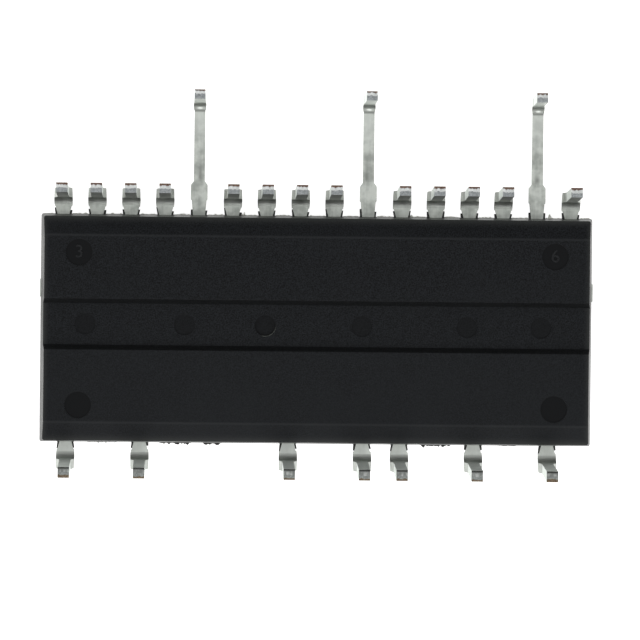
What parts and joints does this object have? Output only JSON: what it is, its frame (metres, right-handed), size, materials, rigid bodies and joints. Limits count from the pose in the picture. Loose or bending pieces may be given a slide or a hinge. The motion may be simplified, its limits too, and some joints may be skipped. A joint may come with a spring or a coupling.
{
  "type": "intelligent power module",
  "caption": "Fully moulded three-phase inverter module with its gate drivers: a flat black epoxy block with a row of formed solder pins along each long side.",
  "frame": {"origin": "centre of the flat back face, the face that goes against the heat sink", "axes": "+Z away from the back face, the way the pins point; +X along the body, towards the common lead; +Y towards the side with sixteen control leads"},
  "size_m": [0.029, 0.0202, 0.0062],
  "materials": {
    "epoxy_moulding": "matte, spark-eroded mould texture",
    "tinned_copper": "matte tin plate on copper",
    "silicon": "polished silicon",
    "solder": "satin",
    "chip_adhesive": "silver-filled, matte",
    "bond_wire": "bright drawn wire"
  },
  "bodies": {
    "root": {"control_wires_u": "bond_wire", "control_wires_v": "bond_wire", "control_wires_w": "bond_wire", "driver_adhesive_layers": "chip_adhesive", "gate_driver_chip_u": "silicon", "gate_driver_chip_v": "silicon", "gate_driver_chip_w": "silicon", "lead_01_common": "tinned_copper", "lead_02_bootstrap_u": "tinned_copper", "lead_03_supply_u": "tinned_copper", "lead_04_input_high_u": "tinned_copper", "lead_05_input_low_u": "tinned_copper", "lead_06_spare_u": "tinned_copper", "lead_07_bootstrap_v": "tinned_copper", "lead_08_supply_v": "tinned_copper", "lead_09_input_high_v": "tinned_copper", "lead_10_input_low_v": "tinned_copper", "lead_11_spare_v": "tinned_copper", "lead_12_bootstrap_w": "tinned_copper", "lead_13_supply_w": "tinned_copper", "lead_14_input_high_w": "tinned_copper", "lead_15_input_low_w": "tinned_copper", "lead_16_spare_w": "tinned_copper", "lead_17_positive_bus": "tinned_copper", "lead_18_output_u": "tinned_copper", "lead_19_negative_u": "tinned_copper", "lead_20_negative_v": "tinned_copper", "lead_21_output_v": "tinned_copper", "lead_22_negative_w": "tinned_copper", "lead_23_output_w": "tinned_copper", "moulded_body": "epoxy_moulding", "power_wires_u": "bond_wire", "power_wires_v": "bond_wire", "power_wires_w": "bond_wire", "switch_chip_high_u": "silicon", "switch_chip_high_v": "silicon", "switch_chip_high_w": "silicon", "switch_chip_low_u": "silicon", "switch_chip_low_v": "silicon", "switch_chip_low_w": "silicon", "switch_solder_layers": "solder"}
  },
  "joints": []
}
